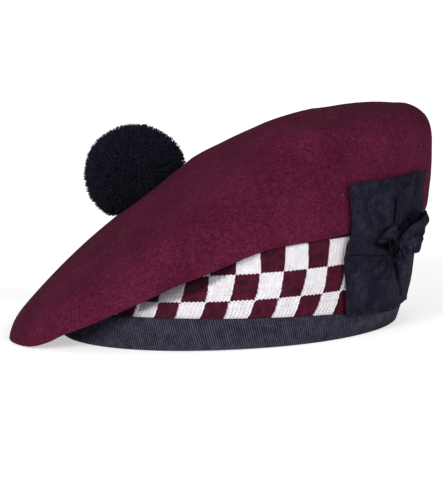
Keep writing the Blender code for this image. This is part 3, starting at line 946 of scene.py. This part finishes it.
cord_steps = np.arange(CORDS * CORD_SAMPLES)
cord_places = cord_steps * (BAND_ROUND / len(cord_steps))
lean = np.zeros(len(profile))
lean[-len(outer_leg):] = -CORD_LEAN * LEG_SHARES * BINDING_HEIGHT
binding_points = np.array([
    curve_through(ring, index_at(cord_places + aside)) for ring, aside in zip(profile, lean)
])
binding_mesh = grid_mesh("ribbon_binding", binding_points, ring=True)
binding = add_piece("ribbon_binding", binding_mesh, "headband_ribbon")
normals = numbers_of(binding.data.vertices, "normal").reshape(binding_points.shape)
wave = np.cos(phased(cord_steps, CORD_SAMPLES)) - 1
height_of_cords = np.full(len(profile), CORD_DEPTH)
height_of_cords[:4] = height_of_cords[-1] = FLAT_CORDS * CORD_DEPTH
corded = binding_points + normals * wave[None, :, None] * height_of_cords[:, None, None]
corded[..., 2] = np.maximum(corded[..., 2], 0)
binding.data.vertices.foreach_set("co", corded.ravel())
# painted shade between the cords and at the ribbon's far end
painted_end_shade = soft_folds(*picture_places(binding_points), [PAINTED_END_SHADE])
mark(binding.data, "painted_shade", np.maximum(-wave / 2, painted_end_shade))
binding.data.materials.append(BINDING)
thicken(binding, RIBBON)
print(binding.name, triangles(binding), "triangles")

# %% [markdown]
# The cockade is a wide ribbon folded into an upright rectangle and pinched across its middle. Its own
# frame has one axis straight out of the hat, one across the cockade and one up it, so its sizes can be given
# as a hatter would measure them.
# %% The cockade's frame
COCKADE_TURN = math.radians(-16)
COCKADE_UP = 45.5 * MM
cockade_out = outward(COCKADE_TURN)
cockade_faces = cockade_out.to_track_quat("X", "Z").to_matrix().to_4x4()
COCKADE = Matrix.Translation(HEAD_AXIS + COCKADE_UP * UP) @ cockade_faces
COCKADE_AXES = np.array(COCKADE.to_3x3())
COCKADE_PLACE = np.array(COCKADE.translation)


def depth_of(tree, across, up):
    """How far out a surface lies at places of the cockade's frame, where a ray meets it."""
    found = np.full(np.shape(across), np.nan)
    for place in np.ndindex(np.shape(across)):
        start = COCKADE @ Vector((FAR, across[place], up[place]))
        hit = tree.ray_cast(start, -cockade_out)[0]
        if hit is not None:
            found[place] = FAR - (start - hit).length
    return found


def on_cockade(out, across, up):
    """Points of the row frame from places of the cockade's frame."""
    return np.stack([out, across, up], -1) @ COCKADE_AXES.T + COCKADE_PLACE


print("cockade faces", round(math.degrees(COCKADE_TURN)), "degrees")

# %% [markdown]
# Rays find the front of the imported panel, and the cloth is a fine grid that is laid over it. Its front edge
# splays out a little at the top, and its rear edge is drawn in above the bow and at its lower corner.
# %% The cockade's panel
PANEL_COLUMNS, PANEL_ROWS = 198, 210
KNOT_ACROSS, KNOT_UP = -3.5 * MM, -4.5 * MM
PANEL_SPLAY, SPLAY_SETS_IN = 2.5 * MM, (8 * MM, 32 * MM)  # how far the front edge splays, and at what heights
REAR_TUCK = (  # heights in mm, and how many mm the rear edge is drawn in there
    (-32, -28, -24, -20, -16, -8, -4, 0, 4, 8, 12, 16, 20, 24, 28, 32, 34, 36),
    (4.2, 3.6, 2.2, 0.8, 0, 0, 0.4, 1.8, 4.2, 7.3, 10.6, 13.3, 14.9, 15.3, 14.7, 13.0, 11.2, 8.8),
)
CORNER_REACH = 3.2 * MM  # corners of the solid this near a height give the panel's edges there
EDGE_SMOOTHED = 15  # rows
RAYS_INSIDE = 0.985  # rays keep to this share of the panel, clear of its rim
panel_tree = surface("cockade_panel")

to_cockade = COCKADE.inverted()
panel_corners = np.array([to_cockade @ v.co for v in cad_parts["cockade_panel"].data.vertices])
panel_low, panel_high = panel_corners[:, 1:].min(0), panel_corners[:, 1:].max(0)
row_ups = np.linspace(panel_low[1], panel_high[1], PANEL_ROWS)


def panel_sides(up):
    """The panel's left and right edges at a height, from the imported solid's corners."""
    near = panel_corners[np.abs(panel_corners[:, 2] - up) < CORNER_REACH]
    return near[:, 1].min(), near[:, 1].max()


def neighbours(values):
    """The four neighbours of every place of a grid."""
    padded = np.pad(values, 1, mode="edge")
    return np.stack([padded[:-2, 1:-1], padded[2:, 1:-1], padded[1:-1, :-2], padded[1:-1, 2:]])


def filled(values, rounds=60):
    """Fills the places that rays missed from their neighbours, then smooths the whole a little."""
    while np.isnan(values).any():
        values = np.where(np.isnan(values), np.nanmean(neighbours(values), 0), values)
    for _ in range(rounds):
        values = neighbours(values).mean(0)
    return values


def averaged(values, count):
    """Each value's mean with those beside it, an odd count in all."""
    return np.convolve(np.pad(values, count // 2, mode="edge"), np.ones(count) / count, mode="valid")


sides = np.array([panel_sides(up) for up in row_ups])
sides = np.stack([averaged(side, EDGE_SMOOTHED) for side in sides.T], -1)
sides[:, 0] -= PANEL_SPLAY * smoothstep(*SPLAY_SETS_IN, row_ups)
sides[:, 1] -= np.interp(row_ups / MM, *REAR_TUCK) * MM
shares = np.linspace(0, 1, PANEL_COLUMNS)
panel_across = sides[:, :1] * (1 - shares) + sides[:, 1:] * shares
panel_up = np.repeat(row_ups[:, None], PANEL_COLUMNS, 1)
panel_out = filled(depth_of(panel_tree, panel_across * RAYS_INSIDE, panel_up * RAYS_INSIDE))
print("panel", round(np.ptp(panel_across) / MM, 1), "by", round(np.ptp(panel_up) / MM, 1), "mm")

# %% [markdown]
# A pleat is a line with a height and a reach at each of its points: the cloth rises towards the line on one
# side and falls off at once on the other. Smaller ridges and dents are soft folds, as on the crown, and a
# last list says where the cloth lies in shade or gleams. All are lines in the picture, because a cockade
# has no rule that its folds follow.
# %% Lines of the pleats
# Each point of a pleat: its place in the picture, its height in mm and its reach in pixels
UPPER_PLEAT = (
    (414, 176, 0.4, 8), (409, 183, 1.2, 12), (400, 191, 2.0, 14), (394, 196.5, 2.6, 13),
    (392.5, 200.5, 3.0, 12.5), (391.5, 209, 3.2, 12), (391, 222, 2.6, 9), (395, 229, 0.4, 6),
)
LOWER_PLEAT = (
    (393.5, 262, 1.0, 8), (389.7, 270, 2.4, 12), (391, 278, 3.0, 16),
    (395.3, 287, 2.4, 21), (399.6, 293, 1.2, 24), (402, 300, 0.2, 24),
)
CREASE = (
    (396, 258, 0.2, 8), (388, 256.5, 1.5, 9), (372, 255, 1.7, 11), (356, 254.5, 1.3, 11), (344, 255, 0.6, 10),
)
HEM_ROLL = ((398, 306, 0.4, 9), (388, 312, 1.1, 8), (374, 316, 1.1, 6), (362, 314, 0.0, 5))

RIDGES = (  # each: its height in mm, its width in pixels, and its places in the picture
    (1.6, 5.0, [(357, 188), (360, 212), (372, 238)]),
    (-1.7, 3.5, [(368, 187), (371, 205), (378, 226)]),
    (-1.6, 2.0, [(398, 194), (396, 204), (394, 222)]),
    (2.0, 5.5, [(406, 186), (407, 198), (404, 212)]),
    (-1.3, 2.5, [(420, 174), (418, 190), (413, 204)]),
    (-1.6, 3.0, [(374, 241), (386, 246), (397, 247)]),
    (-0.9, 2.5, [(352, 259), (370, 259), (388, 260)]),
    (1.4, 6.0, [(357, 272), (360, 288), (358, 304)]),
    (-1.6, 4.5, [(377, 272), (376, 288), (371, 304)]),
    (-1.8, 2.6, [(396, 264), (399, 280), (401, 293)]),
    (1.3, 2.5, [(403, 262), (405, 272)]),
    (-1.0, 2.0, [(359, 311), (366, 317), (378, 314)]),
)

# Painted shade darkens the cloth along these lines, and below 0 a painted highlight lightens it
SHADES = (  # each: how dark the cloth is or, below 0, how much it gleams, then the same as above
    (1.0, 1.3, [(396, 199), (395.5, 209), (394, 222)]),
    (0.7, 0.8, [(413, 178), (402, 191), (397, 196)]),
    (1.0, 2.4, [(408, 219), (410, 221)]),
    (0.9, 1.0, [(402, 226.5), (401, 234), (397.5, 239)]),
    (0.9, 0.9, [(383, 240), (389, 238.5), (394, 240.5), (398, 247)]),
    (0.8, 1.5, [(377, 242), (384, 245), (393, 247)]),
    (0.9, 1.2, [(399, 247), (402, 253), (405, 259)]),
    (0.9, 3.0, [(391.5, 243), (393.5, 250), (395.5, 257)]),
    (0.85, 1.0, [(407, 241), (412, 236.5), (418, 233.5), (425, 234)]),
    (0.5, 2.2, [(423, 214), (427, 222)]),
    (0.5, 3.0, [(406, 213), (404, 223)]),
    (0.8, 0.7, [(403, 246), (402, 255)]),
    (0.8, 0.9, [(350, 255), (370, 255), (391, 256)]),
    (1.0, 2.6, [(395.5, 264), (396.5, 272), (398.5, 280)]),
    (1.0, 1.6, [(398.5, 279), (400.3, 287), (401, 294)]),
    (0.7, 1.2, [(357, 309), (361, 314), (367, 317.3), (378, 315)]),
    (0.35, 2.2, [(371, 186), (371, 192)]),
    (0.5, 2.0, [(349, 184), (350, 230), (346, 262), (347, 300)]),
    (0.4, 5.0, [(376, 278), (376, 290), (373, 302)]),
    (0.3, 6.0, [(366, 205), (376, 216), (382, 232)]),
    (0.4, 1.5, [(409, 262), (406, 280), (403, 300)]),
    (-0.5, 1.6, [(392.5, 268), (394, 277), (398, 290)]),
    (-0.4, 6.0, [(389, 284), (393, 298)]),
    (-0.3, 3.0, [(364.5, 185), (364.5, 192), (366, 200)]),
    (-0.3, 4.5, [(359, 216), (361, 228)]),
    (-0.3, 5.0, [(358, 272), (360, 284), (362, 296)]),
    (-0.3, 3.5, [(388, 196), (387.5, 213)]),
    (-0.4, 1.0, [(372.7, 199), (374.5, 207)]),
    (-0.3, 1.8, [(403.5, 266), (404.5, 274)]),
    (-0.35, 2.0, [(391, 229), (396, 228)]),
    (-0.3, 3.0, [(388, 233), (393, 234)]),
    (-0.25, 3.0, [(412, 227), (419, 225)]),
    (-0.3, 2.5, [(411, 243), (416, 241)]),
    (-0.5, 1.0, [(401.5, 243), (400.5, 250)]),
    (-0.5, 0.9, [(405.5, 249), (404.5, 256)]),
)
print(len(RIDGES), "ridges and dents,", len(SHADES), "lines of shade and gleam")

# %% Pleats of the panel
PANEL_CORD = 4  # columns to an upright cord
RIB = 3  # rows to a level cord
PANEL_CORD_HEIGHT = 0.18  # mm
PANEL_CLOTH = 0.6 * MM
MEAN_RELIEF = 1.0 * MM
# the mean painted shade between the cords
CORD_SHADE = 0.38  # how dark a ribbon is on average, before its cords and folds
PLEAT_FALL = 0.9  # pixels over which a pleat falls off
GATHERS, SLACK, PINCH = 0.7, 0.35, 0.9  # mm: folds round the knot, waves of loose cloth, depth at the knot
EDGE_RELIEF, EDGE_REACH = 0.25, 3  # what is left of the relief at the panel's edges, and over how many mm


def pleat(x, y, line):
    """A pleat's height in mm, and how much a place belongs to it. It lies left of a line drawn downwards."""
    away, side, (height, reach) = near_line(x, y, line)
    rise = np.clip(1 - away / reach, 0, 1)
    fall = np.exp(-((away / PLEAT_FALL) ** 2))
    return height * np.where(side > 0, rise**0.7, fall), np.where(side > 0, smoothstep(0, 0.12, rise), 0)


def panel_relief(x, y, across, up):
    """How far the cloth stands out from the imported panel, in mm, by its place in the picture."""
    knot = np.hypot(across - KNOT_ACROSS, up - KNOT_UP) / MM
    turn = np.arctan2(up - KNOT_UP, across - KNOT_ACROSS)
    upper, on_upper = pleat(x, y, UPPER_PLEAT)
    lower, on_lower = pleat(x, y, LOWER_PLEAT)
    relief = upper + lower + pleat(x, y, CREASE)[0] + pleat(x, y, HEM_ROLL)[0]
    relief += soft_folds(x, y, RIDGES)
    gathers = GATHERS * np.cos(13 * turn) * smoothstep(4, 8, knot) * (1 - smoothstep(11, 22, knot))
    slack = SLACK * np.sin(x / 5.3 + 0.8 * np.sin(y / 9)) * np.sin(y / 12 + 0.8)
    relief += gathers + slack - PINCH * np.exp(-((knot / 9) ** 2))
    from_edge = np.minimum(across - panel_across[:, :1], panel_across[:, -1:] - across) / MM
    inside = smoothstep(0, EDGE_REACH, from_edge)
    return relief * (EDGE_RELIEF + (1 - EDGE_RELIEF) * inside), on_upper, on_lower


def mark_cloth(mesh, points, between_cords):
    """Tells the finish the shade to paint at each point, between the cords and in folds, and where highlights
    go.
    """
    x, y = picture_places(points)
    folds = np.array([soft_fold(x, y, line, width, dark, steepness=3) for dark, width, line in SHADES])
    cords = CORD_SHADE * (1 + between_cords)
    # painted shade between the cords and in folds, lessened where a highlight is painted
    mark(mesh, "painted_shade", np.clip(np.maximum(cords + folds.min(0), folds.max(0)), 0, 1))


flat_x, flat_y = picture_places(on_cockade(panel_out + MEAN_RELIEF, panel_across, panel_up))
relief, on_upper, on_lower = panel_relief(flat_x, flat_y, panel_across, panel_up)
column, row = np.meshgrid(np.arange(PANEL_COLUMNS), np.arange(PANEL_ROWS))
upright = -0.4 * np.cos(phased(column, PANEL_CORD))
level = -np.cos(phased(row, RIB))
sloping = -np.cos(phased(row - 0.2 * column, RIB))
between_cords = upright * (1 - np.maximum(on_upper, on_lower)) + level * on_upper + sloping * on_lower
panel_stands = panel_out + (relief - PANEL_CORD_HEIGHT * between_cords) * MM
panel_points = on_cockade(panel_stands, panel_across, panel_up)
panel_mesh = grid_mesh("cockade_panel_ribbon", panel_points)
panel = add_piece("cockade_panel_ribbon", panel_mesh, "cockade_panel")
panel.data.materials.append(COCKADE_RIBBON)
mark_cloth(panel.data, panel_points, between_cords)
thicken(panel, PANEL_CLOTH)
print(panel.name, triangles(panel), "triangles, relief to", round(float(relief.max()), 2), "mm")

# %% [markdown]
# A small bow is tied over the pinch. Each loop is a band of ribbon that goes out from the knot, turns and
# comes back. The front loop lies nearly flat and ends in a point, and the rear one stands up full, with a
# dent between its two halves. Gathers run out from the knot and die away.
# %% The bow's loops
BOW_REACH, BOW_UNEVEN = 20.0, 3.5  # mm: a loop's mean reach, and how much farther the rear one goes
LOOP_BACK, LOOP_DEPTH, LOOP_DENT, LOOP_GATHERS = 0.9, 1.6, 1.7, 0.7  # mm
LOOP_SHARES = (0, 0.1, 0.25, 0.5, 0.75, 1)  # from the knot to the end of a loop
# Each loop, in mm: how high its middle runs and half its width, at those shares, and how far it stands out
FRONT_LOOP = {"middle": (1.5, 5.0, 9.0, 11.0, 10.4, 7.2), "half": (3.0, 3.8, 4.5, 3.8, 2.5, 0.7), "puff": 3.2}
REAR_LOOP = {"middle": (1.5, 3.5, 6.9, 9.4, 9.7, 9.4), "half": (3.0, 4.8, 8.0, 10.2, 10.2, 8.4), "puff": 10.8}
LOOP_TURNS, LOOP_EDGES, LOOP_STEPS = 280, 30, 4  # points round, points across, and points to a cord
LOOP_CORD = 0.055  # height of a loop's cords in mm
LOOP_CLOTH = 0.5 * MM


def eased(share, values):
    """A smooth curve near values at LOOP_SHARES, averaged over an eighth of the loop."""
    fine = np.linspace(-0.1, 1.1, 241)  # steps of a 200th
    return np.interp(share, fine, averaged(np.interp(fine, LOOP_SHARES, values), 25))


def bow_points(cords):
    """The ring of ribbon through both loops, with its cords on it."""
    turn = np.linspace(0, 2 * math.pi, LOOP_TURNS, endpoint=False)[None, :]
    edge = np.linspace(-1, 1, LOOP_EDGES)[:, None]
    share = np.abs(np.cos(turn))
    rear = smoothstep(-0.15, 0.15, np.cos(turn))
    middle, half = (
        eased(share, FRONT_LOOP[part]) * (1 - rear) + eased(share, REAR_LOOP[part]) * rear
        for part in ("middle", "half")
    )
    across = (KNOT_ACROSS / MM + BOW_REACH * np.cos(turn) + BOW_UNEVEN * share + 0 * edge) * MM
    up = (KNOT_UP / MM + middle + edge * half) * MM
    ground = filled(depth_of(panel_tree, across, up), rounds=8)
    arch = np.sin(math.pi * share)
    dent = LOOP_DENT * np.exp(-(((edge + 0.40 - 0.37 * share) / 0.13) ** 2)) * arch**0.6 * rear
    gathers = np.cos(edge * 8.5 + 2.5 * share) * (1 - share) ** 0.7 * smoothstep(0.02, 0.2, share)
    full = FRONT_LOOP["puff"] * arch**0.4 * (0.55 - 0.45 * edge) * (1 - rear)
    full = full + REAR_LOOP["puff"] * arch * (1 - 0.25 * edge**2 - 0.12 * edge) * rear
    front = (1 + np.sin(turn)) / 2
    stands = LOOP_BACK + (LOOP_DEPTH + full - dent + LOOP_GATHERS * gathers) * front
    return on_cockade(ground + (stands + LOOP_CORD * cords) * MM, across, up)


loop_cords = np.cos(phased(np.arange(LOOP_TURNS), LOOP_STEPS)) * np.ones((LOOP_EDGES, 1))
loops = bow_points(loop_cords)
bow = add_piece("bow_loops", grid_mesh("bow_loops", loops, ring=True, flip=True), "cockade_bow")
bow.data.materials.append(COCKADE_RIBBON)
mark_cloth(bow.data, loops, -0.6 * loop_cords)
thicken(bow, LOOP_CLOTH, offset=0)
print(bow.name, triangles(bow), "triangles")

# %% [markdown]
# The knot is a strap of the same ribbon, wound tightly over the pinch, so its cloth is wrinkled along its
# length.
# %% The knot
KNOT_COLUMNS, KNOT_ROWS, KNOT_STEPS = 44, 64, 3  # points across, points along, and points to a cord
KNOT_HALF_WIDTH, KNOT_HALF_HEIGHT, KNOT_FOOT, KNOT_CREST = 2.9, 6.0, 1.3, 5.2  # mm
KNOT_WRINKLES, KNOT_TWIST = 0.9, 0.5  # mm
KNOT_ASIDE = 0.8 * MM
KNOT_CLOTH = 0.8 * MM


def knot_points():
    """The strap as an arch over the pinch, with its wrinkles."""
    turn = np.linspace(-1, 1, KNOT_ROWS)[:, None] * math.pi / 2
    side = np.linspace(-1, 1, KNOT_COLUMNS)[None, :]
    ends = KNOT_UP + np.array([-1, 1]) * KNOT_HALF_HEIGHT * MM
    foot = np.nanmax(depth_of(panel_tree, np.array([KNOT_ACROSS] * 2), ends))
    wrinkles = np.abs(np.cos(side * 4.2 + 0.9 * np.sin(turn * 2) + 0.4)) - 0.5
    wrinkles = KNOT_WRINKLES * wrinkles * np.cos(turn) ** 0.5
    slanting = KNOT_TWIST * np.cos(side * 3 + turn * 5) * np.cos(turn)
    crest = (KNOT_CREST * (1 - 0.22 * side**2) + wrinkles + slanting) * np.cos(turn) ** 0.6
    pinched = 1 - 0.16 * np.cos(turn * 2 + 0.5) * np.cos(turn)
    across = KNOT_ACROSS + KNOT_ASIDE + side * KNOT_HALF_WIDTH * MM * pinched
    up = KNOT_UP + KNOT_HALF_HEIGHT * MM * np.sin(turn) + 0 * side
    return on_cockade(foot + (KNOT_FOOT + crest) * MM, across, up)


strap = knot_points()
knot = add_piece("knot_strap", grid_mesh("knot_strap", strap), "cockade_knot")
knot.data.materials.append(COCKADE_RIBBON)
knot_cords = np.cos(2 * math.pi * np.arange(KNOT_ROWS) / KNOT_STEPS)[:, None] * np.ones(KNOT_COLUMNS)
mark_cloth(knot.data, strap, knot_cords)
thicken(knot, KNOT_CLOTH)
print(knot.name, triangles(knot), "triangles")

# %% [markdown]
# The toorie is a ball of wool yarn, tied in the middle and clipped all round. What shows is the cut ends,
# thousands of short tufts that stand up side by side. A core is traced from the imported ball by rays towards
# its middle, then smoothed and drawn in to make room for the tufts.
# %% The toorie's core
TUFT_LENGTH = 4.2 * MM
DRAWN_IN = 2.0 * MM
SQUASHED, LOWERED = 0.955, 0.5 * MM
SMOOTHINGS = 5
CLEAR_OF_BALL = 80 * MM  # where the rays start
toorie_tree = surface("toorie")
toorie_low, toorie_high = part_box("toorie")
TOORIE_MIDDLE = (toorie_low + toorie_high) / 2

ball = bmesh.new()
bmesh.ops.create_icosphere(ball, subdivisions=5, radius=1)
for vert in ball.verts:
    direction = vert.co.normalized()
    hit = toorie_tree.ray_cast(TOORIE_MIDDLE + direction * CLEAR_OF_BALL, -direction)[0]
    vert.co = direction * (hit - TOORIE_MIDDLE).length
for _ in range(SMOOTHINGS):
    bmesh.ops.smooth_vert(
        ball, verts=ball.verts, factor=0.5, use_axis_x=True, use_axis_y=True, use_axis_z=True
    )
for vert in ball.verts:
    vert.co *= 1 - DRAWN_IN / vert.co.length
    vert.co.z = SQUASHED * vert.co.z - LOWERED
    vert.co += TOORIE_MIDDLE
core_mesh = bpy.data.meshes.new("toorie_core")
ball.to_mesh(core_mesh)
ball.free()


def clipped_yarn():
    """Black wool, cut across its fibres, so it hardly shines."""
    pile = Finish("clipped_yarn", roughness=1.0, sheen=0.08, sheen_tint=(0.6, 0.62, 0.8), specular=0.04)
    strands = pile.noise(1500, detail=3, roughness=0.7)
    clumps = pile.noise(140, detail=2)
    shade = sums(pile, [(strands, 0.5), (clumps, 0.5)])
    colour = pile.ramp(shade, [(0.32, (0.0026, 0.0025, 0.0064)), (0.68, (0.0068, 0.0066, 0.0160))])
    pile.drive("Base Color", colour)
    pile.bump(strands, 0.0004, 0.8)
    return pile.material


CLIPPED_YARN = clipped_yarn()
core_mesh.materials.append(CLIPPED_YARN)
core = add_piece("toorie_core", core_mesh, "toorie")
print(core.name, triangles(core), "triangles")

# %% [markdown]
# A tuft is a thin cone of three sides that bends over towards its tip. The tree scatters points on the core,
# stands a tuft on each, and varies their sizes and the ways they lean, because clipped yarn never lies in
# order. A fixed seed gives the same ball each time.
# %% The tuft tree
TUFT_TIP = 0.45  # how thick a tuft's tip is, as a share of its foot
TUFT_SIZES = (0.7, 0.7, 0.70), (1.2, 1.2, 1.15)
TUFT_LEANS = (-0.30, -0.30, -3.1), (0.30, 0.30, 3.1)  # radians


def tuft_tree():
    """A bent tuft on every scattered point. Bend is how far a tip moves aside, as a share of its length."""
    tree = Tree(
        "clipped_tuft", PerSquareMetre=1.8e6, Length=TUFT_LENGTH, Width=0.82 * MM, Bend=0.35, Seed=11,
        Yarn=CLIPPED_YARN,
    )
    scatter = tree.add("GeometryNodeDistributePointsOnFaces", {
        "Mesh": tree.start["Geometry"], "Density": tree.start["PerSquareMetre"], "Seed": tree.start["Seed"],
    })
    radius = tree.math("MULTIPLY", tree.start["Width"], 0.5)
    tip = tree.math("MULTIPLY", radius, TUFT_TIP)
    cone = tree.add("GeometryNodeMeshCone", {
        "Vertices": 3, "Side Segments": 2, "Radius Top": tip, "Radius Bottom": radius,
        "Depth": tree.start["Length"],
    }).outputs["Mesh"]
    place = tree.add("GeometryNodeInputPosition", {}).outputs[0]
    height = tree.add("ShaderNodeSeparateXYZ", {0: place}).outputs["Z"]
    bend = tree.math("DIVIDE", tree.start["Bend"], tree.start["Length"])
    curl = tree.math("MULTIPLY", tree.math("MULTIPLY", height, height), bend)
    bent = tree.add("GeometryNodeSetPosition", {"Geometry": cone, "Offset": tree.vector(x=curl)}).outputs[0]
    tufts = tree.add("GeometryNodeInstanceOnPoints", {
        "Points": scatter.outputs["Points"], "Instance": bent, "Rotation": scatter.outputs["Rotation"],
        "Scale": tree.random(*TUFT_SIZES),
    }).outputs[0]
    turned = tree.add("GeometryNodeRotateInstances", {
        "Instances": tufts, "Rotation": tree.random(*TUFT_LEANS),
    }).outputs[0]
    return tree.finish(turned, tree.start["Yarn"])


toorie = grow("toorie_tufts", core.data.copy(), tuft_tree(), "toorie_wool")
print(toorie.name, triangles(toorie), "triangles")

everything = sum(triangles(piece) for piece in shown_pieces())
print("visual triangles", everything)
